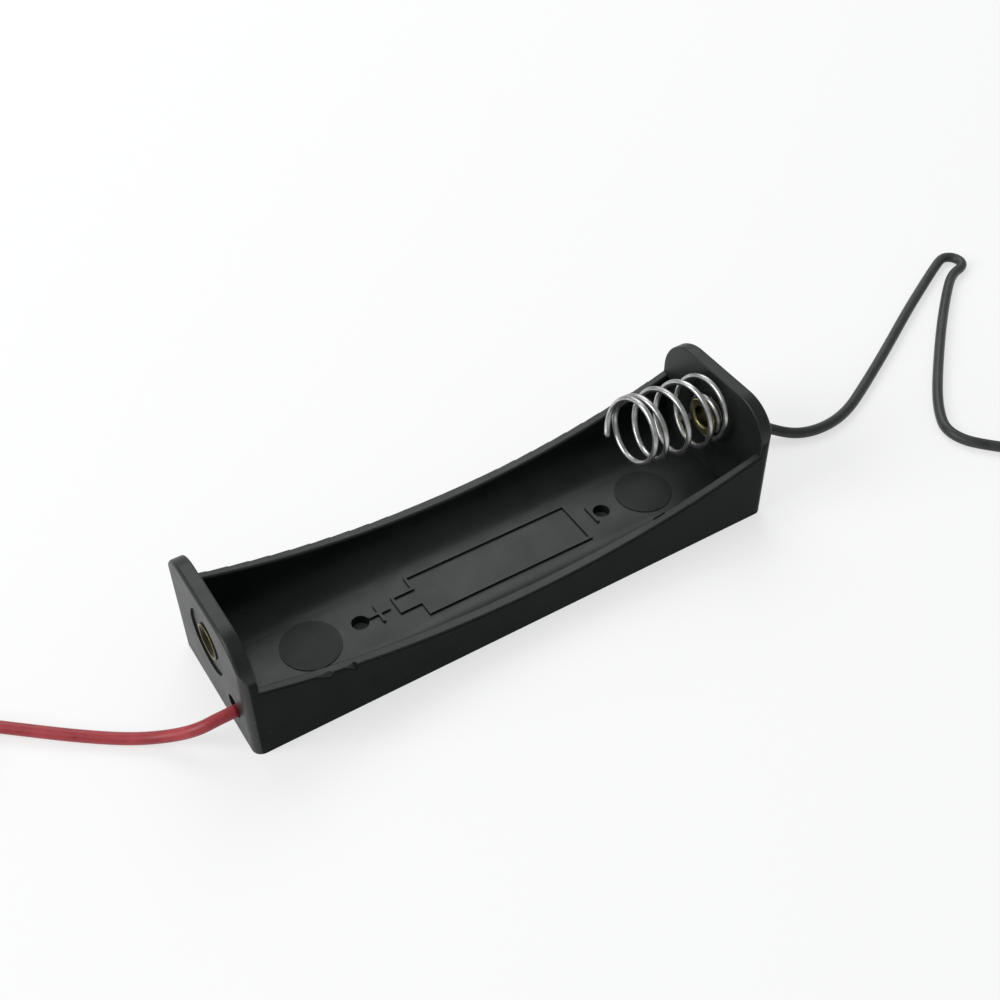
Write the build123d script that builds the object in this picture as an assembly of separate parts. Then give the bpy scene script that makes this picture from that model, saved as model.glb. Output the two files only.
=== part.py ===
from build123d import *
import math
import os

# Cell that the holder takes, and the room round it
cell_diameter = 14.5
cell_length = 50.5
cell_clearance = 0.075
contact_room = 5.0

# Case moulding
wall_thickness = 0.9
floor_thickness = 1.05
plate_thickness = 1.5
plate_height = 13.55
plate_corner_radius = 4.3
wall_end_height = 8.35
wall_dip_height = 4.4
wall_lean = 0.45
bay_corner_radius = 3.7
edge_radius = 1.0
edge_softness = 0.35
rim_softness = 0.2

# Floor details
screw_hole_diameter = 1.8
screw_hole_spacing = 28.5
ejector_mark_diameter = 6.1
ejector_mark_spacing = 39.2
ejector_mark_height = 0.08
rib_width = 0.28
rib_height = 0.22
outline_start = -7.85
outline_end = 11.1
outline_width = 5.3
nub_length = 2.35
nub_width = 2.05
sign_length = 2.4
sign_gap = 1.2
plus_offset = 2.1

# Wear on the front wall: two chips in the rim's outer edge, each start, deepest place, end and depth in plan,
# and a slit along its inner edge
rim_chips = ((-22.6, -21.1, -20.2, 0.45), (-19.7, -18.5, -18.2, 0.6))
chip_height = 0.9
slit_middle = 15.9
slit_length = 1.4
slit_width = 0.16
slit_depth = 0.4

# Eyelets
eyelet_bore_radius = 1.12
eyelet_barrel_radius = 1.4
eyelet_flange_radius = 2.05
eyelet_flange_thickness = 0.3
eyelet_flare_radius = 1.85
eyelet_flare_height = 0.2
eyelet_rounding = 0.12
eyelet_hole_clearance = 0.05
end_recess_diameter = 6.7
end_recess_depth = 0.22
plus_contact_drop = 0.37

# Contact spring
spring_wire = 0.6
spring_front_radius = 3.37
spring_base_radius = 3.67
spring_ring_radius = 2.15
spring_rise = 0.89
spring_tilt = 8.2
spring_length = 11.5
spring_kick = 1.0
spring_kick_turns = 0.4
spring_front_turns = 1.15
spring_front_pitch = 0.3
spring_open_turns = 2.9
spring_seat_turns = 0.85
spring_wind_turns = 0.55
spring_wind_share = 0.25
spring_ring_turns = 0.65
spring_start_angle = -43.0
spring_points_per_turn = 16
spring_clearance = 0.05

# Leads
lead_diameter = 1.2
lead_hole_diameter = 2.4
lead_hole_inset = 3.575
lead_hole_height = 3.7
lead_clearance = 0.05
strand_thickness = 0.2
strand_width = 0.7
tip_diameter = 0.7
tip_length = 4.0
tip_turn = 45.0
arc_share = 0.45
coil_radius = 6.3
coil_gap = 0.03
red_coil_turns = 3
black_coil_turns = 1
tie_band = 0.3
tie_width = 2.2
tie_clearance = 0.15

# Lengths and places that follow from the sizes above
bay_width = cell_diameter + 2 * cell_clearance
bay_length = cell_length + contact_room
half_bay = bay_length / 2
half_length = half_bay + plate_thickness
case_width = bay_width + 2 * wall_thickness
axis_height = floor_thickness + cell_diameter / 2
lead_radius = lead_diameter / 2
lead_hole_side = case_width / 2 - lead_hole_inset
lead_side = lead_hole_side + lead_hole_diameter / 2 - lead_radius - lead_clearance
coil_height = tie_band + tie_clearance + lead_radius


def contact_height(end):
    # Height of an eyelet's axis; the plus end's sits a little below the cell's
    return axis_height - plus_contact_drop if end < 0 else axis_height


def end_cylinder(end, side, height, radius, depth):
    # Round cut into the outer face of an end plate; end is -1 or 1
    face = Plane((end * half_length, side, height), z_dir=(-end, 0, 0))
    return extrude(face * Circle(radius), depth)


def floor_rib(sketch):
    # A raised rib on the floor of the bay, rooted a little into it
    return extrude(Pos(0, 0, floor_thickness - rib_height) * sketch, 2 * rib_height)


def is_soft(edge):
    # True for the rims of the side walls and the outlines of the end plates on the side of the bay
    box = edge.bounding_box()
    rises = box.size.X > plate_thickness and box.size.Z > rim_softness
    on_rim = rises and box.min.Z > wall_dip_height - rim_softness
    on_inner_face = abs(abs(edge.center().X) - half_bay) < rim_softness / 2
    on_plate = on_inner_face and box.max.Z > wall_end_height + rim_softness
    return on_rim or on_plate


def make_case():
    block = extrude(RectangleRounded(2 * half_length, case_width, edge_radius), plate_height)
    end_shape = Pos(0, plate_height / 2) * Rectangle(case_width, plate_height)
    end_shape = fillet(end_shape.vertices().group_by(Axis.Y)[-1], plate_corner_radius)
    bar = extrude(Plane.YZ * end_shape, half_length, both=True)
    outlines = bar.faces().filter_by(Axis.X).edges().filter_by_position(Axis.Z, edge_softness, plate_height)
    case = block & fillet(outlines, edge_softness)

    # Side walls dip in one long arc between the end plates
    above = plate_height + wall_thickness
    dip = ThreePointArc((-half_bay, wall_end_height), (0, wall_dip_height), (half_bay, wall_end_height))
    rim = Polyline(
        (half_bay, wall_end_height), (half_bay, above), (-half_bay, above), (-half_bay, wall_end_height))
    case -= extrude(Plane.XZ * make_face([dip, rim]), case_width, both=True)

    # Trough for the cell; its walls lean in from the bay's full width at the cell's middle
    foot = bay_width / 2 - wall_lean
    mouth = foot + wall_lean * (above - floor_thickness) / (axis_height - floor_thickness)
    trough = make_face(Polyline(
        (-foot, floor_thickness), (foot, floor_thickness), (mouth, above), (-mouth, above), close=True))
    trough = fillet(trough.vertices().group_by(Axis.Y)[0], bay_corner_radius)
    case -= extrude(Plane.YZ * trough, half_bay, both=True)
    case = fillet(case.edges().filter_by(is_soft), rim_softness)

    # Low round marks and screw holes in the floor
    for side in (-1, 1):
        mark = Pos(side * ejector_mark_spacing / 2, 0, floor_thickness - ejector_mark_height)
        case += mark * extrude(Circle(ejector_mark_diameter / 2), 2 * ejector_mark_height)
        hole = Pos(side * screw_hole_spacing / 2, 0, 0)
        case -= hole * extrude(Circle(screw_hole_diameter / 2), 2 * floor_thickness)

    # Cell outline with its nub towards the plus end
    nub_end = outline_start - nub_length
    half_outline = outline_width / 2
    half_nub = nub_width / 2
    outline = make_face(Polyline(
        (outline_end, half_outline), (outline_end, -half_outline), (outline_start, -half_outline),
        (outline_start, -half_nub), (nub_end, -half_nub), (nub_end, half_nub),
        (outline_start, half_nub), (outline_start, half_outline), close=True))
    outer = offset(outline, rib_width / 2, kind=Kind.INTERSECTION)
    inner = offset(outline, -rib_width / 2, kind=Kind.INTERSECTION)
    case += floor_rib(outer - inner)

    # Plus and minus signs beside the screw holes
    plus_place = Pos(plus_offset - screw_hole_spacing / 2, 0)
    plus = Rectangle(sign_length, rib_width) + Rectangle(rib_width, sign_length)
    case += floor_rib(plus_place * plus)
    minus_place = Pos(screw_hole_spacing / 2 - sign_gap, 0)
    case += floor_rib(minus_place * Rectangle(rib_width, sign_length))

    # End recesses, eyelet holes and lead holes
    for end in (-1, 1):
        case -= end_cylinder(end, 0, contact_height(end), end_recess_diameter / 2, end_recess_depth)
        hole_radius = eyelet_barrel_radius + eyelet_hole_clearance
        case -= end_cylinder(end, 0, contact_height(end), hole_radius, plate_thickness)
        lead_hole_radius = lead_hole_diameter / 2
        case -= end_cylinder(end, end * lead_hole_side, lead_hole_height, lead_hole_radius, plate_thickness)

    # Chips in the outer edge of the front rim, and a slit along its inner edge
    rise = wall_end_height - wall_dip_height
    dip_radius = (half_bay ** 2 + rise ** 2) / (2 * rise)

    def rim_height(x):
        return wall_dip_height + dip_radius - math.sqrt(dip_radius ** 2 - x ** 2)

    outer = -case_width / 2 - rim_softness / 2
    for first, deepest, last, depth in rim_chips:
        lowest = Vertex(deepest, outer, rim_height(deepest) - chip_height)
        top = rim_height(deepest) + chip_height
        mouth = make_face(Polyline(
            (2 * first - deepest, outer, top), (deepest, outer + 2 * depth, top),
            (2 * last - deepest, outer, top), close=True))
        case -= loft([mouth, lowest])
    slit_height = rim_height(slit_middle)
    leaned = wall_lean * (axis_height - slit_height) / (axis_height - floor_thickness)
    slit_side = leaned - (bay_width + rim_softness + slit_width) / 2
    slit = Box(slit_length, slit_width, 2 * slit_depth)
    case -= Pos(slit_middle, slit_side, slit_height) * slit
    return case


def make_eyelet(end, stack):
    # Hollow rivet turned about the cell's axis; stack is what it clamps against the inner face
    head = -stack - eyelet_flange_thickness
    seat = plate_thickness - end_recess_depth
    lip = eyelet_flange_thickness / 2
    profile = Polyline(
        (head, eyelet_bore_radius + lip), (head, eyelet_flange_radius), (-stack, eyelet_flange_radius),
        (-stack, eyelet_barrel_radius), (seat, eyelet_barrel_radius), (seat, eyelet_flare_radius),
        (seat + eyelet_flare_height, eyelet_flare_radius),
        (seat + eyelet_flare_height, eyelet_flare_radius - lip),
        (seat - eyelet_flare_height, eyelet_bore_radius), (head + lip, eyelet_bore_radius), close=True)
    section = make_face(profile)
    flange_edge = section.vertices().sort_by(Axis.X)[0:2].sort_by(Axis.Y)[-1]
    section = fillet(flange_edge, eyelet_rounding)
    middle = (end * half_bay, 0, contact_height(end))
    place = Plane(middle, x_dir=(end, 0, 0), z_dir=(0, -end, 0))
    return revolve(place * section, Axis(middle, (1, 0, 0)))


def make_spring():
    # Front turn with its cut end sprung forward, open turns, and a last turn that winds in to the ring under
    # the eyelet's flange
    tilt = math.radians(spring_tilt)
    along = Vector(-math.cos(tilt), 0, math.sin(tilt))
    upward = Vector(math.sin(tilt), 0, math.cos(tilt))
    across = Vector(0, 1, 0)
    base = Vector(half_bay, 0, axis_height + spring_rise)
    ring_stand = strand_thickness + spring_clearance + spring_wire / 2
    seat_stand = ring_stand + 2 * spring_wire
    reach = spring_length - spring_wire / 2
    front_stand = reach - spring_kick
    open_start = front_stand - spring_front_pitch
    open_end = spring_front_turns + spring_open_turns
    ring_start = open_end + spring_seat_turns + spring_wind_turns * spring_wind_share
    last = ring_start + spring_ring_turns
    points = []
    for step in range(round(last * spring_points_per_turn) + 1):
        turn = step / spring_points_per_turn
        angle = math.radians(spring_start_angle) + 2 * math.pi * turn
        if turn <= spring_front_turns:
            kick = spring_kick * max(1 - turn / spring_kick_turns, 0) ** 2
            stand = front_stand + kick - spring_front_pitch * turn / spring_front_turns
        elif turn <= open_end:
            opened = (turn - spring_front_turns) / spring_open_turns
            stand = open_start + (seat_stand - open_start) * opened
        else:
            seated = min((turn - open_end) / spring_seat_turns, 1)
            stand = seat_stand + (ring_stand - seat_stand) * seated
        wind = min(max((turn - ring_start + spring_wind_turns) / spring_wind_turns, 0), 1)
        wind = wind * wind * (3 - 2 * wind)
        widened = (spring_base_radius - spring_front_radius) * min(turn / ring_start, 1)
        coil_turn = spring_front_radius + widened
        radius = coil_turn + (spring_ring_radius - coil_turn) * wind
        on_helix = base + along * stand + (across * math.cos(angle) + upward * math.sin(angle)) * radius
        centre = Vector(half_bay - stand, 0, axis_height)
        on_ring = centre + Vector(0, math.cos(angle), math.sin(angle)) * radius
        points.append(on_helix + (on_ring - on_helix) * wind)
    path = Spline(points)
    section = Plane(path @ 0, z_dir=path % 0) * Circle(spring_wire / 2)
    return sweep(section, path)


def make_tail(end):
    # Insulated end of a lead, which fills its side of the lead hole and stops level with the inner face
    outside = Plane((end * half_length, end * lead_side, lead_hole_height), z_dir=(-end, 0, 0))
    return extrude(outside * Circle(lead_radius), plate_thickness)


def make_strand(end):
    # Stripped strand pressed flat on the end plate: a loop round the barrel and a run to the lead hole
    inner_radius = eyelet_barrel_radius + eyelet_hole_clearance
    outer_radius = inner_radius + strand_width
    to_hole = Vector(0, end * lead_side, lead_hole_height - contact_height(end))
    place = Plane((end * half_bay, 0, contact_height(end)), x_dir=to_hole, z_dir=(-end, 0, 0))
    run_start = (inner_radius + outer_radius) / 2
    run_end = to_hole.length + strand_width / 2
    run = Pos((run_start + run_end) / 2, 0) * Rectangle(run_end - run_start, strand_width)
    loop = Circle(outer_radius) + run - Circle(inner_radius)
    return extrude(place * loop, strand_thickness)


def corner_radii(points):
    # Each arc takes the same share of the shorter run beside its corner
    radii = []
    for before, here, after in zip(points, points[1:], points[2:]):
        turn = math.radians((here - before).get_angle(after - here))
        shorter = min((here - before).length, (after - here).length)
        radii.append(arc_share * shorter / math.tan(turn / 2))
    return radii


def make_lead(colour, route, turns):
    # Tube along the route, then a flat coil of the length that is put away, its tie and its stripped tip
    points = [Vector(*point) for point in route]
    radii = corner_radii(points)
    path = FilletPolyline(*points, radius=radii)
    tube = sweep(Plane(path @ 0, z_dir=path % 0) * Circle(lead_radius), path)
    heading = (points[-1] - points[-2]).normalized()
    inward = Vector(-heading.Y, heading.X, 0)
    pitch = lead_diameter + coil_gap
    start_radius = coil_radius + pitch * turns / 2
    end_radius = coil_radius - pitch * turns / 2
    centre = points[-1] + inward * start_radius

    width = start_radius - end_radius + lead_diameter
    ring_section = Pos(coil_radius, 0) * RectangleRounded(width, lead_diameter, lead_radius - coil_gap)
    coil = Pos(*centre) * revolve(Plane.XZ * ring_section, Axis.Z)

    tie_place = Plane(centre + inward * coil_radius, x_dir=inward)
    tie_hole = Box(width + 2 * tie_clearance, tie_width, lead_diameter + 2 * tie_clearance)
    tie_margin = 2 * (tie_clearance + tie_band)
    tie = tie_place * (Box(width + tie_margin, tie_width, lead_diameter + tie_margin) - tie_hole)

    tip_start = centre - inward * end_radius
    turned = math.radians(tip_turn)
    tip_heading = heading * math.cos(turned) + inward * math.sin(turned)
    tip = extrude(Plane(tip_start, z_dir=tip_heading) * Circle(tip_diameter / 2), tip_length)

    length = path.length + 2 * math.pi * coil_radius * turns
    print(colour, "lead length", round(length, 1), "radii", [round(radius, 1) for radius in radii])
    print(colour, "tube volume", round(tube.volume, 2), "section times length",
          round(math.pi * lead_radius ** 2 * path.length, 2), "coil centre", centre)
    return {f"{colour}_lead": tube, f"{colour}_lead_coil": coil, f"{colour}_lead_tie": tie,
            f"{colour}_lead_tip": tip}


red_route = [
    (-half_length, -lead_side, lead_hole_height), (-31.05, -lead_side, lead_hole_height),
    (-33.0, -4.75, 2.95), (-35.1, -2.8, 1.25), (-38.2, -0.7, lead_radius), (-42.3, 2.35, lead_radius),
    (-47.2, 6.4, 0.7), (-51.2, 9.5, coil_height), (-54.4, 12.2, coil_height)]
black_route = [
    (half_length, lead_side, lead_hole_height), (31.05, lead_side, lead_hole_height), (33.0, 4.7, 3.1),
    (35.2, 2.4, 2.0), (37.4, 0.1, 1.15), (39.8, -1.55, lead_radius), (43.0, -2.25, lead_radius),
    (46.9, -1.6, lead_radius), (52.0, 0.95, lead_radius), (58.6, 4.5, lead_radius), (65.4, 8.35, lead_radius),
    (70.8, 11.2, lead_radius), (74.9, 13.3, lead_radius), (77.15, 14.35, lead_radius),
    (78.35, 13.85, lead_radius), (78.75, 12.65, lead_radius), (78.1, 11.55, lead_radius),
    (75.6, 11.05, lead_radius), (72.0, 8.3, lead_radius), (67.0, 4.05, lead_radius),
    (61.8, -0.75, lead_radius), (57.7, -4.75, lead_radius), (55.4, -7.5, lead_radius),
    (54.15, -9.7, lead_radius), (54.5, -12.0, lead_radius), (56.1, -14.0, lead_radius), (58.6, -16.6, 0.7),
    (61.4, -19.2, coil_height), (64.1, -21.4, coil_height)]

parts = {"case": make_case(), "contact_spring": make_spring()}
parts["positive_eyelet"] = make_eyelet(-1, strand_thickness)
parts["negative_eyelet"] = make_eyelet(1, strand_thickness + spring_wire + 2 * spring_clearance)
leads = (("red", -1, red_route, red_coil_turns), ("black", 1, black_route, black_coil_turns))
for colour, end, route, turns in leads:
    parts[f"{colour}_strand"] = make_strand(end)
    parts[f"{colour}_lead_tail"] = make_tail(end)
    parts.update(make_lead(colour, route, turns))

os.makedirs("parts", exist_ok=True)
for name, solid in parts.items():
    export_step(solid, f"parts/{name}.step")
    print(name, round(solid.volume, 3), solid.is_valid)
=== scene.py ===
import math

import bpy
import numpy as np
from mathutils import Matrix, Vector


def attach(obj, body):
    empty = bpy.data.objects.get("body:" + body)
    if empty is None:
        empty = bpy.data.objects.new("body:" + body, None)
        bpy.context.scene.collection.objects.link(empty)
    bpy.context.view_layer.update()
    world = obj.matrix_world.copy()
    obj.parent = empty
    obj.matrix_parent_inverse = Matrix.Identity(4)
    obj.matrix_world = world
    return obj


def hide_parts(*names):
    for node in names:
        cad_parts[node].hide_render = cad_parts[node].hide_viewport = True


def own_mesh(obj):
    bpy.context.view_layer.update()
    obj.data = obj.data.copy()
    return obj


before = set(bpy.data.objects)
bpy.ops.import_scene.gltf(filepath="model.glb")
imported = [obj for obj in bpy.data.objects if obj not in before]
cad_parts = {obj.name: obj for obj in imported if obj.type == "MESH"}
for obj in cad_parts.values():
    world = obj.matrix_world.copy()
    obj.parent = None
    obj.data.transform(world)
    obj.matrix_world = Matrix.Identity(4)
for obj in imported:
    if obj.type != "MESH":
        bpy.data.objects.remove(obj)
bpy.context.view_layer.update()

mm = 0.001
scene = bpy.context.scene
scene.view_settings.view_transform = "Standard"
print("frame loaded:", len(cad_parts), "nodes")


# Camera at the photograph's angle
cameraSetup = {
    "place": (-48.57, -82.34, 105.53),  # millimetres
    "azimuth": 238.527,  # degrees, of the way back to the camera
    "elevation": 44.907,
    "roll": -0.688,
    "lens": 50.449,
    "sensor": 36.0,
    "clipStart": 0.005,  # metres
}


def makeCamera(setup):
    # back comes from azimuth and elevation, right lies level, and both side axes roll about back
    azimuth = math.radians(setup["azimuth"])
    elevation = math.radians(setup["elevation"])
    roll = math.radians(setup["roll"])
    level = math.cos(elevation)
    back = Vector((level * math.cos(azimuth), level * math.sin(azimuth), math.sin(elevation)))
    right = Vector((0, 0, 1)).cross(back).normalized()
    up = back.cross(right)
    rolledRight = right * math.cos(roll) + up * math.sin(roll)
    rolledUp = up * math.cos(roll) - right * math.sin(roll)
    turn = Matrix((rolledRight, rolledUp, back)).transposed().to_4x4()
    lens = bpy.data.cameras.new("camera")
    lens.lens = setup["lens"]
    lens.sensor_width = setup["sensor"]
    lens.clip_start = setup["clipStart"]
    camera = bpy.data.objects.new("camera", lens)
    camera.matrix_world = Matrix.Translation(Vector(setup["place"]) * mm) @ turn
    scene.collection.objects.link(camera)
    scene.camera = camera


makeCamera(cameraSetup)
print("camera placed")


# Small helpers for meshes
cutLoss = 0.6  # share of its section that a worn cut end loses


def unit(vectors):
    return vectors / np.linalg.norm(vectors, axis=-1, keepdims=True)


def gridCells(grid, spacing, closeRows):
    # Rows run along a piece and columns round it; each cell is a quad, and an open end is a fan to its middle
    rows, columns = grid.shape[:2]
    index = np.arange(rows * columns).reshape(rows, columns)
    last = rows if closeRows else rows - 1
    under = np.roll(index, -1, axis=0)[:last]
    quads = np.stack([
        index[:last], np.roll(index, -1, axis=1)[:last], np.roll(under, -1, axis=1), under], axis=-1)
    row, column = np.divmod(np.arange(last * columns), columns)
    along = np.append(spacing, spacing[-1] + spacing[1] - spacing[0])
    u = np.stack([along[row], along[row], along[row + 1], along[row + 1]], axis=-1)
    v = np.stack([column, column + 1, column + 1, column], axis=-1) / columns
    points = grid.reshape(-1, 3)
    faces = quads.reshape(-1, 4).tolist()
    marks = np.stack([u, v], axis=-1).reshape(-1, 2)
    if not closeRows:
        points = np.concatenate([points, grid[[0, -1]].mean(1)])
        ring = np.arange(columns)
        after = np.roll(ring, -1)
        far = ring + (rows - 1) * columns
        tip = np.full(columns, rows * columns)
        faces += np.stack([after, ring, tip], axis=-1).tolist()
        faces += np.stack([far, np.roll(far, -1), tip + 1], axis=-1).tolist()
        marks = np.concatenate([marks, np.zeros((6 * columns, 2))])
    return points, faces, marks


def buildMesh(name, grids, closeRows=False):
    # grids holds pairs of a grid and the distance of its rows along the piece, in metres
    points, faces, marks, first = [], [], [], 0
    for grid, spacing in grids:
        gridPoints, gridFaces, gridMarks = gridCells(grid, spacing, closeRows)
        points.append(gridPoints)
        faces += [[corner + first for corner in face] for face in gridFaces]
        marks.append(gridMarks)
        first += len(gridPoints)
    mesh = bpy.data.meshes.new(name)
    mesh.from_pydata(np.concatenate(points).tolist(), [], faces)
    mesh.polygons.foreach_set("use_smooth", np.ones(len(faces), bool))
    layer = mesh.uv_layers.new(name="UVMap")
    layer.data.foreach_set("uv", np.concatenate(marks).ravel())
    mesh.validate()
    return mesh


def tube(line, radii, normals, sides):
    # A circle carried along the line: it lies across the tangent, and its first spoke leans to the normal
    tangents = unit(np.gradient(line, axis=0))
    across = unit(normals - (normals * tangents).sum(-1, keepdims=True) * tangents)
    beside = np.cross(tangents, across)
    angle = np.linspace(0, 2 * np.pi, sides, endpoint=False)[None, :, None]
    spokes = across[:, None] * np.cos(angle) + beside[:, None] * np.sin(angle)
    steps = np.linalg.norm(np.diff(line, axis=0), axis=1)
    return line[:, None] + spokes * radii[:, None, None], np.append(0, np.cumsum(steps))


def roundedEnds(line, radius, share):
    # The radius falls off over the last stretch at both ends, as a worn cut does
    steps = np.linalg.norm(np.diff(line, axis=0), axis=1)
    along = np.append(0, np.cumsum(steps))
    near = np.minimum(along, along[-1] - along) / (radius * share)
    return radius * np.sqrt(1 - cutLoss * np.clip(1 - near, 0, 1) ** 2)


def addPiece(name, mesh, body, slot, *nodes):
    piece = bpy.data.objects.new(name, mesh)
    scene.collection.objects.link(piece)
    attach(piece, body)
    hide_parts(*nodes)
    return piece


# Leads: their routes on the floor, and the coils of the length that is put away
leadSetup = {
    "diameter": 1.2,
    "sides": 24,
    "coilRadius": 6.3,
    "coilPitch": 1.23,
    "pointsPerTurn": 16,
}
caseEnd = 29.25
leadSide = 5.2
leadHeight = 3.7
onFloor = 0.6
onTie = 1.05
redRoute = [
    (-caseEnd, -leadSide, leadHeight), (-31.05, -leadSide, leadHeight), (-33.0, -4.75, 2.95),
    (-35.1, -2.8, 1.25), (-38.2, -0.7, onFloor), (-42.3, 2.35, onFloor), (-47.2, 6.4, 0.7),
    (-51.2, 9.5, onTie), (-54.4, 12.2, onTie)]
blackRoute = [
    (caseEnd, leadSide, leadHeight), (31.05, leadSide, leadHeight), (33.0, 4.7, 3.1),
    (35.2, 2.4, 2.0), (37.4, 0.1, 1.15), (39.8, -1.55, onFloor), (43.0, -2.25, onFloor),
    (46.9, -1.6, onFloor), (52.0, 0.95, onFloor), (58.6, 4.5, onFloor), (65.4, 8.35, onFloor),
    (70.8, 11.2, onFloor), (74.9, 13.3, onFloor), (77.15, 14.35, onFloor),
    (78.35, 13.85, onFloor), (78.75, 12.65, onFloor), (78.1, 11.55, onFloor),
    (75.6, 11.05, onFloor), (72.0, 8.3, onFloor), (67.0, 4.05, onFloor),
    (61.8, -0.75, onFloor), (57.7, -4.75, onFloor), (55.4, -7.5, onFloor),
    (54.15, -9.7, onFloor), (54.5, -12.0, onFloor), (56.1, -14.0, onFloor), (58.6, -16.6, 0.7),
    (61.4, -19.2, onTie), (64.1, -21.4, onTie)]
leads = {
    "red": {"route": redRoute, "turns": 3, "length": 0.1504},
    "black": {"route": blackRoute, "turns": 1, "length": 0.1461},
}


def coilPlace(route, turns):
    # The coil starts along the last run and lies on its left, so its middle is one start radius to the left
    heading = unit(route[-1] - route[-2])
    inward = np.array([-heading[1], heading[0], 0])
    startRadius = leadSetup["coilRadius"] + leadSetup["coilPitch"] * turns / 2
    return heading, inward, startRadius, route[-1] + inward * startRadius


def coilPoints(route, turns):
    # A flat spiral: the angle grows by whole turns while the radius falls by one pitch a turn
    heading, inward, startRadius, centre = coilPlace(route, turns)
    turn = np.arange(1, turns * leadSetup["pointsPerTurn"] + 1)[:, None] / leadSetup["pointsPerTurn"]
    radius = startRadius - leadSetup["coilPitch"] * turn
    angle = 2 * np.pi * turn
    return centre + radius * (heading * np.sin(angle) - inward * np.cos(angle))


lineSetup = {"steps": 10, "order": 3, "least": 1e-7}  # least is the shortest step kept, in metres


def splineLine(name, points):
    # The smooth line of a NURBS spline that has the points as its control points
    curve = bpy.data.curves.new(name, "CURVE")
    curve.dimensions = "3D"
    curve.resolution_u = lineSetup["steps"]
    spline = curve.splines.new("NURBS")
    spline.points.add(len(points) - 1)
    spline.points.foreach_set("co", np.c_[points, np.ones(len(points))].ravel())
    spline.order_u = lineSetup["order"]
    spline.use_endpoint_u = True
    holder = bpy.data.objects.new(name, curve)
    scene.collection.objects.link(holder)
    mesh = bpy.data.meshes.new_from_object(holder)
    line = np.zeros(len(mesh.vertices) * 3)
    mesh.vertices.foreach_get("co", line)
    bpy.data.objects.remove(holder)
    bpy.data.curves.remove(curve)
    bpy.data.meshes.remove(mesh)
    line = line.reshape(-1, 3)
    steps = np.linalg.norm(np.diff(line, axis=0), axis=1)
    return line[np.append(True, steps > lineSetup["least"])]


def makeLead(colour, setup):
    route = np.array(setup["route"])
    points = np.concatenate([route, coilPoints(route, setup["turns"])]) * mm
    line = splineLine(colour + "Line", points)
    radius = leadSetup["diameter"] / 2 * mm
    upward = np.tile((0.0, 0.0, 1.0), (len(line), 1))
    mesh = buildMesh(colour + "_wire", [tube(line, np.full(len(line), radius), upward, leadSetup["sides"])])
    slot = colour + "_insulation"
    piece = addPiece(colour + "_wire", mesh, "holder", slot, colour + "_lead", colour + "_lead_coil")
    return piece, line


# Stripped tips: a core and six strands laid round it, which leave the coil along the wire and bend inward
tipSetup = {
    "length": 4.0,
    "bend": 2.0,
    "turn": 45.0,
    "wires": 7,
    "strand": 0.234,
    "twists": 1.6,
    "endShare": 0.5,
    "steps": 60,
    "sides": 10,
}


def makeTip(colour, setup):
    # The line's heading turns evenly over the bend, then stays; the outer strands are helices round the core
    heading, inward, startRadius, centre = coilPlace(np.array(setup["route"]), setup["turns"])
    endRadius = startRadius - leadSetup["coilPitch"] * setup["turns"]
    along = np.linspace(0, tipSetup["length"], tipSetup["steps"])[:, None]
    angle = np.radians(tipSetup["turn"]) * np.minimum(along / tipSetup["bend"], 1)
    headings = heading * np.cos(angle) + inward * np.sin(angle)
    step = tipSetup["length"] / (tipSetup["steps"] - 1)
    line = centre - inward * endRadius + (np.cumsum(headings, axis=0) - headings) * step
    upward = np.array((0.0, 0.0, 1.0))
    beside = np.cross(upward, headings)
    grids = []
    for strand in range(tipSetup["wires"]):
        turns = strand / (tipSetup["wires"] - 1) + tipSetup["twists"] * along / tipSetup["length"]
        lay = 2 * np.pi * turns
        offset = beside * np.cos(lay) + upward * np.sin(lay)
        path = (line + offset * (tipSetup["strand"] if strand else 0)) * mm
        radii = roundedEnds(path, tipSetup["strand"] / 2 * mm, tipSetup["endShare"])
        grids.append(tube(path, radii, np.tile(upward, (len(path), 1)), tipSetup["sides"]))
    mesh = buildMesh(colour + "_wire_tip", grids)
    return addPiece(colour + "_wire_tip", mesh, "holder", "tinned_wire", colour + "_lead_tip")


# Ties round the coils: a thin band carried round a rounded rectangle
tieSetup = {
    "band": 0.3,
    "width": 2.2,
    "clearance": 0.15,
    "corner": 0.6,
    "edge": 0.08,
    "squareness": 0.2,
    "sides": 24,
    "steps": 96,
    "rowStep": 0.1,
}


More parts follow.
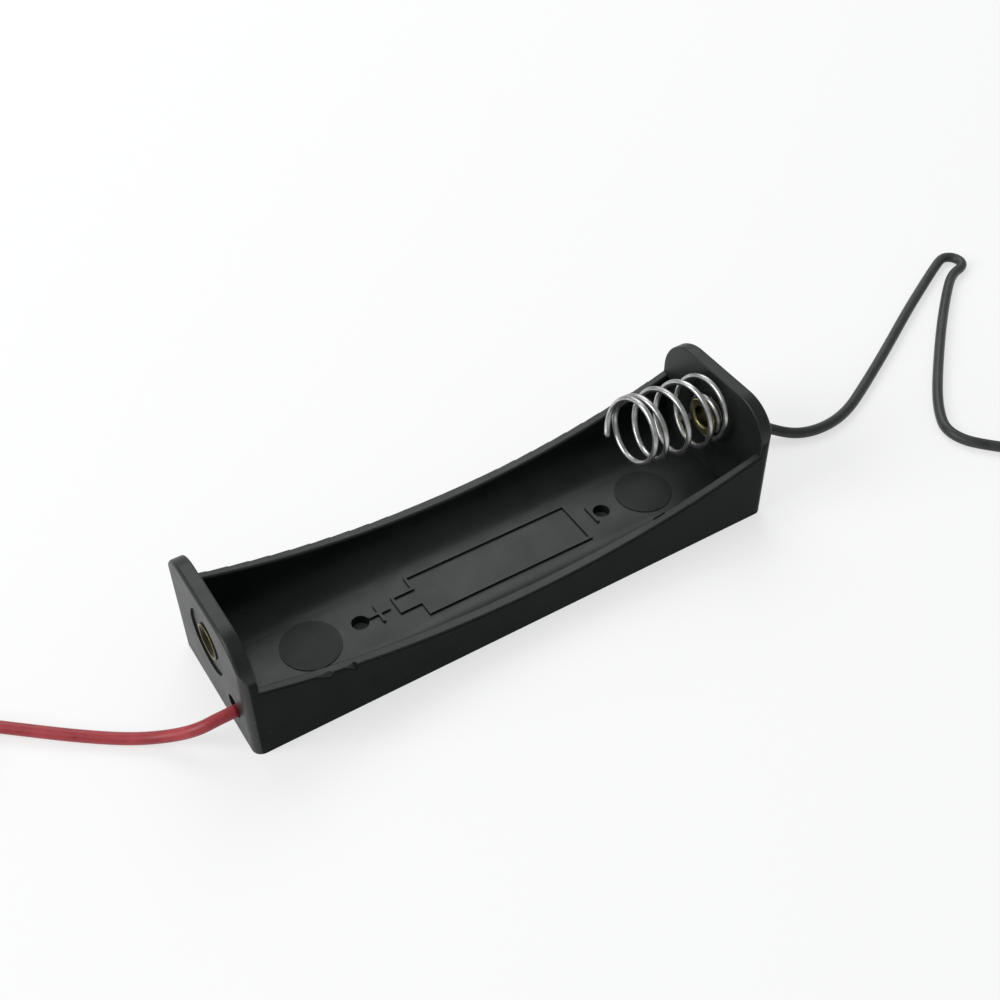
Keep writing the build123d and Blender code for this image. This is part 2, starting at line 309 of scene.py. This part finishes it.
def makeTie(colour, setup):
    # The loop is the rectangle shrunk by its corner radius, plus that radius along the loop's own normal
    heading, inward, startRadius, centre = coilPlace(np.array(setup["route"]), setup["turns"])
    upward = np.array((0.0, 0.0, 1.0))
    middle = centre + inward * leadSetup["coilRadius"]
    turnsWide = leadSetup["coilPitch"] * setup["turns"] + leadSetup["diameter"]
    reach = tieSetup["clearance"] + tieSetup["band"] / 2
    half = np.array((turnsWide / 2 + reach, leadSetup["diameter"] / 2 + reach)) - tieSetup["corner"]
    angle = np.linspace(0, 2 * np.pi, tieSetup["steps"], endpoint=False) + np.pi / tieSetup["steps"]
    normal = np.stack([np.cos(angle), np.sin(angle)], axis=-1)
    loop = np.sign(normal) * half + normal * tieSetup["corner"]
    around = np.linspace(0, 2 * np.pi, tieSetup["sides"], endpoint=False)
    square = np.stack([np.cos(around), np.sin(around)], axis=-1)
    box = np.array((tieSetup["width"], tieSetup["band"])) / 2 - tieSetup["edge"]
    squared = np.sign(square) * np.abs(square) ** tieSetup["squareness"]
    section = squared * box + square * tieSetup["edge"]
    out = loop[:, None] + normal[:, None] * section[None, :, 1:]
    grid = middle + out[..., :1] * inward + out[..., 1:] * upward + section[None, :, :1] * heading
    spacing = np.arange(tieSetup["steps"]) * tieSetup["rowStep"] * mm
    mesh = buildMesh(colour + "_wire_tie", [(grid * mm, spacing)], closeRows=True)
    return addPiece(colour + "_wire_tie", mesh, "holder", "tie_plastic", colour + "_lead_tie")


wires = {}
for colour, setup in leads.items():
    wires[colour], setup["line"] = makeLead(colour, setup)
    setup["tip"] = makeTip(colour, setup)
    setup["tie"] = makeTie(colour, setup)
print("leads laid")


# Contact spring: a front turn with its cut end sprung forward, open turns, and a turn that winds in to a ring
springSetup = {
    "wire": 0.6,
    "frontRadius": 3.37,
    "baseRadius": 3.67,
    "ringRadius": 2.15,
    "rise": 0.89,
    "tilt": 8.2,
    "reach": 11.2,
    "kick": 1.0,
    "kickTurns": 0.4,
    "frontTurns": 1.15,
    "frontPitch": 0.3,
    "openTurns": 2.9,
    "seatTurns": 0.85,
    "windTurns": 0.55,
    "ringStart": 5.0375,
    "turns": 5.6875,
    "seatStand": 1.75,
    "ringStand": 0.55,
    "startAngle": -43.0,
    "stepsPerTurn": 72,
    "sides": 20,
    "smoothing": 13,
    "endShare": 0.4,
}
innerFace = 27.75
cellAxis = 8.3


def makeSpring(setup):
    # A helix about a tilted axis: stand is the way from the end plate, and wind blends it to a flat ring
    turn = np.linspace(0, setup["turns"], round(setup["turns"] * setup["stepsPerTurn"]) + 1)
    openEnd = setup["frontTurns"] + setup["openTurns"]
    frontStand = setup["reach"] - setup["kick"]
    openStart = frontStand - setup["frontPitch"]
    kick = setup["kick"] * np.clip(1 - turn / setup["kickTurns"], 0, 1) ** 2
    front = frontStand + kick - setup["frontPitch"] * turn / setup["frontTurns"]
    opened = openStart + (setup["seatStand"] - openStart) * (turn - setup["frontTurns"]) / setup["openTurns"]
    seated = np.clip((turn - openEnd) / setup["seatTurns"], 0, 1)
    seating = setup["seatStand"] + (setup["ringStand"] - setup["seatStand"]) * seated
    stand = np.select([turn <= setup["frontTurns"], turn <= openEnd], [front, opened], seating)
    window = np.hanning(setup["smoothing"] + 2)[1:-1]
    half = setup["smoothing"] // 2
    padded = np.pad(stand, half, mode="reflect", reflect_type="odd")
    stand = np.convolve(padded, window / window.sum(), mode="valid")[:, None]
    wind = np.clip((turn - setup["ringStart"]) / setup["windTurns"] + 1, 0, 1)
    wind = (wind * wind * (3 - 2 * wind))[:, None]
    angle = (np.radians(setup["startAngle"]) + 2 * np.pi * turn)[:, None]
    widening = (setup["baseRadius"] - setup["frontRadius"]) / setup["ringStart"]
    coilRadius = setup["frontRadius"] + widening * np.minimum(turn, setup["ringStart"])[:, None]
    radius = coilRadius + (setup["ringRadius"] - coilRadius) * wind
    tilt = math.radians(setup["tilt"])
    along = np.array((-math.cos(tilt), 0, math.sin(tilt)))
    upward = np.array((math.sin(tilt), 0, math.cos(tilt)))
    across = np.array((0.0, 1.0, 0.0))
    base = np.array((innerFace, 0, cellAxis + setup["rise"]))
    spokes = across * np.cos(angle) + upward * np.sin(angle)
    onHelix = base + along * stand + spokes * radius
    flatSpokes = across * np.cos(angle) + np.array((0.0, 0.0, 1.0)) * np.sin(angle)
    onRing = np.array((innerFace, 0, cellAxis)) - np.array((1.0, 0, 0)) * stand + flatSpokes * radius
    line = (onHelix + (onRing - onHelix) * wind) * mm
    radii = roundedEnds(line, setup["wire"] / 2 * mm, setup["endShare"])
    mesh = buildMesh("coil_spring", [tube(line, radii, spokes, setup["sides"])])
    piece = addPiece("coil_spring", mesh, "spring", "spring_wire", "contact_spring")
    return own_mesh(piece)


spring = makeSpring(springSetup)
print("spring wound")


# Eyelets: hollow rivets along the cell, with a rolled flange in the bay and a flare in the end recess
eyeletSetup = {
    "bore": 1.12,
    "barrel": 1.4,
    "flange": 2.05,
    "flangeThickness": 0.3,
    "flare": 1.85,
    "flareHeight": 0.2,
    "mouth": 1.7,
    "seat": 1.28,
    "rounding": 0.13,
    "flareRounding": 0.07,
    "crease": 0.03,
    "funnel": 0.34,
    "cornerSteps": 7,
    "rowStep": 0.05,
    "sides": 96,
}
plusAxis = 7.93
eyeletStacks = {  # end of the case, what the flange clamps, and height
    "negative": (1, 0.9, cellAxis),
    "positive": (-1, 0.2, plusAxis),
}


def roundCorners(points, cuts, steps):
    # Each corner becomes a parabola between the points that lie one cut away along its two sides
    before = unit(np.roll(points, 1, axis=0) - points)
    after = unit(np.roll(points, -1, axis=0) - points)
    cuts = np.array(cuts)[:, None]
    t = np.linspace(0, 1, steps)[None, :, None]
    start, end = points + before * cuts, points + after * cuts
    curves = (1 - t) ** 2 * start[:, None] + 2 * t * (1 - t) * points[:, None] + t ** 2 * end[:, None]
    return curves.reshape(-1, 2)


def makeEyelet(name, end, stack, height):
    # A closed profile of distance from the end plate and radius, turned about a line along the cell
    s = eyeletSetup
    head = -stack - s["flangeThickness"]
    lip = s["seat"] + s["flareHeight"]
    profile = np.array([
        (head, s["bore"]), (head, s["flange"]), (-stack, s["flange"]), (-stack, s["barrel"]),
        (s["seat"], s["barrel"]), (s["seat"], s["flare"]), (lip, s["flare"]), (lip, s["mouth"]),
        (s["seat"] - s["flareHeight"], s["bore"])])
    edge, flareEdge, crease = s["rounding"], s["flareRounding"], s["crease"]
    cuts = [s["funnel"], edge, edge, crease, crease, flareEdge, flareEdge, flareEdge, edge]
    profile = roundCorners(profile, cuts, s["cornerSteps"])
    angle = np.linspace(0, 2 * np.pi, s["sides"], endpoint=False)[None, :]
    distance, radius = profile[:, :1], profile[:, 1:]
    x = end * (innerFace + distance) + 0 * angle
    grid = np.stack([x, radius * np.cos(angle), height + end * radius * np.sin(angle)], axis=-1) * mm
    spacing = np.arange(len(grid)) * s["rowStep"] * mm
    mesh = buildMesh(name + "_rivet", [(grid, spacing)], closeRows=True)
    return addPiece(name + "_rivet", mesh, "holder", "eyelet_brass", name + "_eyelet")


rivets = [makeEyelet(name, *values) for name, values in eyeletStacks.items()]
print("eyelets set")


# Strands: a flat bundle of fine wires from the insulation round the eyelet's barrel
strandSetup = {
    "past": 0.26,
    "straight": [(5.2, 0.0), (3.7, 0.02), (2.9, 0.1), (2.2, 0.45)],
    "loop": 1.8,
    "loopAngles": (35, 340, 25),  # first, stop and step, in degrees
    "wires": 5,
    "pitch": 0.135,
    "wire": 0.15,
    "lift": 0.1,
    "sides": 8,
}


def makeStrand(colour, end, height):
    # In the end plate's plane: straight in towards the eyelet, then round it; each wire runs beside the last
    way = np.array((0.0, end * leadSide, leadHeight - height))
    toHole = unit(way)
    reach = np.linalg.norm(way) + strandSetup["past"]
    inward = np.array((-float(end), 0.0, 0.0))
    beside = np.cross(inward, toHole)
    loopAngles = np.radians(np.arange(*strandSetup["loopAngles"]))
    loop = strandSetup["loop"] * np.stack([np.cos(loopAngles), np.sin(loopAngles)], axis=-1)
    flat = np.concatenate([[(reach, 0.0)], strandSetup["straight"], loop])
    middle = np.array((end * innerFace, 0.0, height)) + inward * strandSetup["lift"]
    points = middle + flat[:, :1] * toHole + flat[:, 1:] * beside
    line = splineLine(colour + "StrandLine", points * mm)
    sideways = np.cross(unit(np.gradient(line, axis=0)), inward)
    grids = []
    for wire in range(strandSetup["wires"]):
        offset = (wire - (strandSetup["wires"] - 1) / 2) * strandSetup["pitch"] * mm
        path = line + sideways * offset
        radii = np.full(len(path), strandSetup["wire"] / 2 * mm)
        grids.append(tube(path, radii, np.tile(inward, (len(path), 1)), strandSetup["sides"]))
    mesh = buildMesh(colour + "_wire_strand", grids)
    return addPiece(colour + "_wire_strand", mesh, "holder", "tinned_wire", colour + "_strand")


strands = [makeStrand("red", -1, plusAxis), makeStrand("black", 1, cellAxis)]
print("strands pressed")


# Materials: small helpers that add one node each and give its output
def startMaterial(name):
    material = bpy.data.materials.new(name)
    material.use_nodes = True
    tree = material.node_tree
    shader = tree.nodes["Principled BSDF"]
    place = tree.nodes.new("ShaderNodeTexCoord")
    return material, tree, shader, place


def stretch(tree, vector, scale):
    node = tree.nodes.new("ShaderNodeMapping")
    node.inputs["Scale"].default_value = scale
    tree.links.new(vector, node.inputs["Vector"])
    return node.outputs["Vector"]


def noise(tree, vector, size, detail, roughness):
    # size is the rough width of a patch, in metres
    node = tree.nodes.new("ShaderNodeTexNoise")
    node.inputs["Scale"].default_value = 1 / size
    node.inputs["Detail"].default_value = detail
    node.inputs["Roughness"].default_value = roughness
    tree.links.new(vector, node.inputs["Vector"])
    return node.outputs["Fac"]


def specks(tree, vector, size):
    node = tree.nodes.new("ShaderNodeTexVoronoi")
    node.inputs["Scale"].default_value = 1 / size
    tree.links.new(vector, node.inputs["Vector"])
    return node.outputs["Distance"]


def remap(tree, value, fromLow, fromHigh, toLow, toHigh):
    node = tree.nodes.new("ShaderNodeMapRange")
    for name, number in zip(("From Min", "From Max", "To Min", "To Max"), (fromLow, fromHigh, toLow, toHigh)):
        node.inputs[name].default_value = number
    tree.links.new(value, node.inputs["Value"])
    return node.outputs["Result"]


def maths(tree, operation, first, second):
    node = tree.nodes.new("ShaderNodeMath")
    node.operation = operation
    for value, socket in zip((first, second), node.inputs):
        if isinstance(value, bpy.types.NodeSocket):
            tree.links.new(value, socket)
        else:
            socket.default_value = value
    return node.outputs["Value"]


def axes(tree, vector):
    node = tree.nodes.new("ShaderNodeSeparateXYZ")
    tree.links.new(vector, node.inputs["Vector"])
    return node.outputs["X"], node.outputs["Y"], node.outputs["Z"]


def positive(tree, value):
    return maths(tree, "ABSOLUTE", value, 0.0)


def square(tree, value):
    return maths(tree, "POWER", positive(tree, value), 2.0)


def span(tree, first, second):
    # The long side over two sides of a right angle
    return maths(tree, "SQRT", maths(tree, "ADD", square(tree, first), square(tree, second)), 0.0)


def mixTones(tree, first, second, shares):
    weighted = [maths(tree, "MULTIPLY", tone, share) for tone, share in zip((first, second), shares)]
    return maths(tree, "ADD", *weighted)


def ramp(tree, value, positions, colours):
    node = tree.nodes.new("ShaderNodeValToRGB")
    elements = node.color_ramp.elements
    while len(elements) < len(colours):
        elements.new(0.5)
    for element, position, colour in zip(elements, positions, colours):
        element.position = position
        element.color = (*colour, 1)
    tree.links.new(value, node.inputs["Fac"])
    return node.outputs["Color"]


def bump(tree, height, relief, under=None):
    # relief is its height in metres, and its strength
    node = tree.nodes.new("ShaderNodeBump")
    node.inputs["Distance"].default_value, node.inputs["Strength"].default_value = relief
    tree.links.new(height, node.inputs["Height"])
    if under is not None:
        tree.links.new(under, node.inputs["Normal"])
    return node.outputs["Normal"]


def setSockets(shader, **values):
    for name, value in values.items():
        shader.inputs[name.replace("_", " ")].default_value = value


# Each noise below has its patch width, detail and roughness; levels are from two values to two others
casePlastic = {
    "colours": ((0.0060, 0.0078, 0.0076), (0.0125, 0.0145, 0.0138), (0.06, 0.062, 0.06)),
    "tones": (0.30, 0.72, 1.0),  # where the colours stand: dark, light and speck
    "mottle": (3.0 * mm, 5.0, 0.6),
    "rubs": (0.35 * mm, 3.0, 0.5),
    "rubStretch": (0.12, 1.0, 1.0),
    "rubLevels": (0.60, 0.78, 0.0, 0.12),
    "dust": 1.6 * mm,
    "dustLevels": (0.025, 0.055, 0.55, 0.0),
    "glossLevels": (0.2, 0.75, 0.36, 0.50),
    "grain": (0.10 * mm, 3.0, 0.6),
    "grainRelief": (0.006 * mm, 0.7),
    "flow": (6.0 * mm, 2.0, 0.4),
    "flowRelief": (0.05 * mm, 0.5),
    "specular": 0.36,
    "sideSpecular": 0.045,
    "sideStart": 8.12 * mm,
    "sideFull": 8.18 * mm,
    "markSpecular": 0.18,
    "markPlace": 19.6 * mm,
    "markRadius": 3.05 * mm,
    "markTop": 1.2 * mm,
    "backSpecular": 0.12,
    "backStart": 3.6 * mm,
    "backFull": 7.0 * mm,
    "rimDip": 4.1 * mm,
    "rimCurve": 1 / (199 * mm),
    "bayHalf": 27.9 * mm,
}


def caseFinish(tree, where, look):
    # Shine by place: matter on the long outer sides, on the round marks and on the back wall of the bay
    x, y, z = axes(tree, where)
    sides = remap(tree, positive(tree, y), look["sideStart"], look["sideFull"], 0.0, 1.0)
    fromMark = maths(tree, "SUBTRACT", positive(tree, x), look["markPlace"])
    inMark = maths(tree, "LESS_THAN", span(tree, fromMark, y), look["markRadius"])
    marks = maths(tree, "MULTIPLY", inMark, maths(tree, "LESS_THAN", z, look["markTop"]))
    rim = maths(tree, "MULTIPLY", square(tree, x), look["rimCurve"])
    belowRim = maths(tree, "LESS_THAN", maths(tree, "SUBTRACT", z, rim), look["rimDip"])
    inBay = maths(tree, "MULTIPLY", belowRim, maths(tree, "LESS_THAN", positive(tree, x), look["bayHalf"]))
    back = maths(tree, "MULTIPLY", inBay, remap(tree, y, look["backStart"], look["backFull"], 0.0, 1.0))
    lost = [
        remap(tree, share, 0.0, 1.0, 0.0, look["specular"] - look[name])
        for share, name in ((sides, "sideSpecular"), (marks, "markSpecular"), (back, "backSpecular"))]
    most = maths(tree, "MAXIMUM", maths(tree, "ADD", lost[0], lost[1]), lost[2])
    return remap(tree, most, 0.0, look["specular"], look["specular"], 0.0)


def makeCasePlastic(look):
    # Moulded plastic: broad mottling, a fine eroded grain, faint rubs along the length and a few pale specks
    material, tree, shader, place = startMaterial("blackMoulding")
    where = place.outputs["Object"]
    mottle = noise(tree, where, *look["mottle"])
    rubs = noise(tree, stretch(tree, where, look["rubStretch"]), *look["rubs"])
    rubbed = remap(tree, rubs, *look["rubLevels"])
    dust = remap(tree, specks(tree, where, look["dust"]), *look["dustLevels"])
    tone = maths(tree, "ADD", maths(tree, "ADD", mottle, rubbed), dust)
    tree.links.new(ramp(tree, tone, look["tones"], look["colours"]), shader.inputs["Base Color"])
    gloss = remap(tree, maths(tree, "SUBTRACT", mottle, rubbed), *look["glossLevels"])
    tree.links.new(gloss, shader.inputs["Roughness"])
    flow = bump(tree, noise(tree, where, *look["flow"]), look["flowRelief"])
    relief = bump(tree, noise(tree, where, *look["grain"]), look["grainRelief"], flow)
    tree.links.new(relief, shader.inputs["Normal"])
    tree.links.new(caseFinish(tree, where, look), shader.inputs["Specular IOR Level"])
    return material


insulation = {
    "red": {"colours": ((0.27, 0.020, 0.028), (0.40, 0.042, 0.050)), "gloss": (0.38, 0.55)},
    "black": {"colours": ((0.019, 0.020, 0.020), (0.038, 0.040, 0.039)), "gloss": (0.36, 0.52)},
}
sleeveSkin = {
    "cloud": (2.2 * mm, 4.0, 0.6),
    "tones": (0.3, 0.7),
    "glossFrom": (0.25, 0.75),
    "skin": (0.16 * mm, 3.0, 0.6),
    "skinRelief": (0.006 * mm, 0.6),
    "wave": (1.4 * mm, 2.0, 0.4),
    "waveRelief": (0.02 * mm, 0.6),
    "specular": 0.4,
    "sheen": 0.08,
    "sheenRoughness": 0.4,
}


def makeInsulation(colour, look, skin):
    # Soft extruded sleeve: a cloudy tone, a slightly wavy skin with a fine grain, and a dusty sheen
    material, tree, shader, place = startMaterial(colour + "Sleeve")
    where = place.outputs["Object"]
    cloud = noise(tree, where, *skin["cloud"])
    tree.links.new(ramp(tree, cloud, skin["tones"], look["colours"]), shader.inputs["Base Color"])
    tree.links.new(remap(tree, cloud, *skin["glossFrom"], *look["gloss"]), shader.inputs["Roughness"])
    wave = bump(tree, noise(tree, where, *skin["wave"]), skin["waveRelief"])
    grain = bump(tree, noise(tree, where, *skin["skin"]), skin["skinRelief"], wave)
    tree.links.new(grain, shader.inputs["Normal"])
    setSockets(
        shader, Specular_IOR_Level=skin["specular"], Sheen_Weight=skin["sheen"],
        Sheen_Roughness=skin["sheenRoughness"])
    return material


wireMetals = {  # gloss is the roughness of the dark places and of the light ones
    "greyNickel": {"colours": ((0.28, 0.285, 0.28), (0.56, 0.565, 0.55)), "gloss": (0.40, 0.26)},
    "tinnedCopper": {"colours": ((0.52, 0.50, 0.46), (0.74, 0.73, 0.70)), "gloss": (0.48, 0.30)},
}
drawnSkin = {
    "lines": (1.0, 3.0, 0.6),
    "lineStretch": (120.0, 14.0, 1.0),
    "cloud": (1.1 * mm, 4.0, 0.6),
    "shares": (0.7, 0.3),  # of the cloud and the lines in the tone
    "tones": (0.34, 0.6),
    "glossFrom": (0.3, 0.7),
    "relief": (0.004 * mm, 0.6),
}


def makeWireMetal(name, look, skin):
    # Drawn wire: fine lines along its length from its own map, and a dull cloud over the plate
    material, tree, shader, place = startMaterial(name)
    lines = noise(tree, stretch(tree, place.outputs["UV"], skin["lineStretch"]), *skin["lines"])
    cloud = noise(tree, place.outputs["Object"], *skin["cloud"])
    tone = mixTones(tree, cloud, lines, skin["shares"])
    tree.links.new(ramp(tree, tone, skin["tones"], look["colours"]), shader.inputs["Base Color"])
    tree.links.new(remap(tree, tone, *skin["glossFrom"], *look["gloss"]), shader.inputs["Roughness"])
    tree.links.new(bump(tree, lines, skin["relief"]), shader.inputs["Normal"])
    setSockets(shader, Metallic=1.0)
    return material


eyeletBrass = {
    "colours": ((0.018, 0.016, 0.009), (0.17, 0.15, 0.065), (0.62, 0.57, 0.32)),
    "tones": (0.0, 0.32, 0.62),  # where the colours stand: painted shade, dark and light
    "tarnish": (0.9 * mm, 5.0, 0.65),
    "lines": (1.0, 2.0, 0.5),
    "lineStretch": (9000.0, 3.0, 1.0),
    "shares": (0.8, 0.2),  # of the tarnish and the lines in the tone
    "glossLevels": (0.0, 0.7, 0.46, 0.26),
    "relief": (0.003 * mm, 0.5),
    # Painted shade: darker inside the flange's bore and the flare's hollow; the rest of the flare is also a
    # little darker
    "flangeHollow": 1.26 * mm,
    "flangeShade": (0.40, 0.0),  # in the hollow and on the rim
    "flareHollow": 1.66 * mm,
    "flareShadeAndDarkening": (0.90, 0.22),
    "fade": 0.12 * mm,
}


def hollow(tree, y, z, height, radius, fade, levels):
    # The first level inside a radius about a line along X at a height, and the second outside it
    reach = span(tree, maths(tree, "SUBTRACT", z, height), y)
    return remap(tree, reach, radius - fade, radius, *levels)


def makeEyeletBrass(look):
    # Stamped brass: turning lines round it, clouds of tarnish that are rougher, and painted shade inside its
    # hollows
    material, tree, shader, place = startMaterial("dullBrass")
    where = place.outputs["Object"]
    tarnish = noise(tree, where, *look["tarnish"])
    lines = noise(tree, stretch(tree, place.outputs["UV"], look["lineStretch"]), *look["lines"])
    tone = mixTones(tree, tarnish, lines, look["shares"])
    x, y, z = axes(tree, where)
    # Painted shade inside the bore and the hollow, taken off the tone below
    inFlange = hollow(tree, y, z, cellAxis * mm, look["flangeHollow"], look["fade"], look["flangeShade"])
    inFlare = hollow(tree, y, z, plusAxis * mm, look["flareHollow"], look["fade"], look["flareShadeAndDarkening"])
    inFlare = maths(tree, "MULTIPLY", inFlare, maths(tree, "LESS_THAN", x, -innerFace * mm))
    paintedShadeTone = maths(tree, "SUBTRACT", tone, maths(tree, "MAXIMUM", inFlange, inFlare))
    tree.links.new(ramp(tree, paintedShadeTone, look["tones"], look["colours"]), shader.inputs["Base Color"])
    tree.links.new(remap(tree, paintedShadeTone, *look["glossLevels"]), shader.inputs["Roughness"])
    tree.links.new(bump(tree, lines, look["relief"]), shader.inputs["Normal"])
    setSockets(shader, Metallic=1.0)
    return material


tiePlastic = {
    "colours": ((0.012, 0.012, 0.013), (0.03, 0.03, 0.03)),
    "tones": (0.3, 0.7),
    "cloud": (1.2 * mm, 4.0, 0.6),
    "glossLevels": (0.3, 0.7, 0.45, 0.62),
    "ribs": (1.0, 2.0, 0.5),
    "ribStretch": (9000.0, 1.0, 1.0),
    "relief": (0.01 * mm, 0.5),
}


def makeTiePlastic(look):
    # Plain black tie: a fine ribbed grain across the band and a dusty cloud
    material, tree, shader, place = startMaterial("tieBand")
    cloud = noise(tree, place.outputs["Object"], *look["cloud"])
    tree.links.new(ramp(tree, cloud, look["tones"], look["colours"]), shader.inputs["Base Color"])
    tree.links.new(remap(tree, cloud, *look["glossLevels"]), shader.inputs["Roughness"])
    ribs = noise(tree, stretch(tree, place.outputs["UV"], look["ribStretch"]), *look["ribs"])
    tree.links.new(bump(tree, ribs, look["relief"]), shader.inputs["Normal"])
    return material


def dress(piece, material):
    piece.data.materials.clear()
    piece.data.materials.append(material)


sleeves = {colour: makeInsulation(colour, look, sleeveSkin) for colour, look in insulation.items()}
metals = {name: makeWireMetal(name, look, drawnSkin) for name, look in wireMetals.items()}
brass = makeEyeletBrass(eyeletBrass)
tieBand = makeTiePlastic(tiePlastic)
dress(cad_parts["case"], makeCasePlastic(casePlastic))
dress(spring, metals["greyNickel"])
for piece in rivets:
    dress(piece, brass)
for piece in strands:
    dress(piece, metals["tinnedCopper"])
for colour, setup in leads.items():
    dress(wires[colour], sleeves[colour])
    dress(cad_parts[colour + "_lead_tail"], sleeves[colour])
    dress(setup["tip"], metals["tinnedCopper"])
    dress(setup["tie"], tieBand)
print("materials set")


# Floor and light
stageSetup = {
    "floorSize": 6.0,
    # The second floor colour is painted shade: a dark patch under the case, seen only through the screw holes
    "floorColours": ((0.94, 0.94, 0.94), (0.10, 0.10, 0.10)),  # open, and under the case
    "floorRoughness": 0.9,
    "shadeHalf": (28.0 * mm, 7.0 * mm),
    "floorLift": 0.62,  # share of plain white that the camera and mirrors see in the floor
    "skyColour": (0.96, 0.98, 1.0, 1),
    "skyStrength": 0.42,
}
lamps = {
    "backSoftbox": {"place": (0.13, 0.42, 0.46), "size": (0.50, 0.36), "power": 1.65},
    "leftSoftbox": {"place": (-0.55, 0.10, 0.34), "size": (0.36, 0.36), "power": 2.7},
}


def makeFloor(setup):
    # Pale paper, lifted towards white for the camera, mirrors and glass, and shadows stay on it.
    # Under the case, where only the screw holes show it, it is painted dark as shade and not lifted
    corners = np.array([(-1, -1, 0), (1, -1, 0), (1, 1, 0), (-1, 1, 0)]) * setup["floorSize"] / 2
    mesh = bpy.data.meshes.new("floor")
    mesh.from_pydata(corners.tolist(), [], [(0, 1, 2, 3)])
    floor = bpy.data.objects.new("floor", mesh)
    scene.collection.objects.link(floor)
    paper, tree, shader, place = startMaterial("palePaper")
    x, y, z = axes(tree, place.outputs["Object"])
    # Painted shade: inside the case's footprint the floor is dark and gets no lift
    inLength = maths(tree, "LESS_THAN", positive(tree, x), setup["shadeHalf"][0])
    inWidth = maths(tree, "LESS_THAN", positive(tree, y), setup["shadeHalf"][1])
    under = maths(tree, "MULTIPLY", inLength, inWidth)
    tree.links.new(ramp(tree, under, (0.0, 1.0), setup["floorColours"]), shader.inputs["Base Color"])
    setSockets(shader, Roughness=setup["floorRoughness"], Specular_IOR_Level=0.0)
    white = tree.nodes.new("ShaderNodeEmission")
    rays = tree.nodes.new("ShaderNodeLightPath").outputs
    seen = maths(tree, "MAXIMUM", rays["Is Camera Ray"], rays["Is Glossy Ray"])
    seen = maths(tree, "MAXIMUM", seen, rays["Is Transmission Ray"])
    blend = tree.nodes.new("ShaderNodeMixShader")
    lift = remap(tree, under, 0.0, 1.0, setup["floorLift"], 0.0)
    tree.links.new(maths(tree, "MULTIPLY", seen, lift), blend.inputs["Fac"])
    tree.links.new(shader.outputs["BSDF"], blend.inputs[1])
    tree.links.new(white.outputs["Emission"], blend.inputs[2])
    tree.links.new(blend.outputs["Shader"], tree.nodes["Material Output"].inputs["Surface"])
    mesh.materials.append(paper)


def makeSky(setup):
    world = bpy.data.worlds.new("studioSky")
    world.use_nodes = True
    sky = world.node_tree.nodes["Background"]
    sky.inputs["Color"].default_value = setup["skyColour"]
    sky.inputs["Strength"].default_value = setup["skyStrength"]
    scene.world = world


def addLamp(name, place, size, power):
    lamp = bpy.data.lights.new(name, "AREA")
    lamp.shape = "RECTANGLE"
    lamp.size, lamp.size_y = size
    lamp.energy = power
    holder = bpy.data.objects.new(name, lamp)
    holder.location = place
    holder.rotation_euler = (-Vector(place)).to_track_quat("-Z", "Y").to_euler()
    scene.collection.objects.link(holder)


makeFloor(stageSetup)
makeSky(stageSetup)
for name, setup in lamps.items():
    addLamp(name, **setup)
print("stage lit")
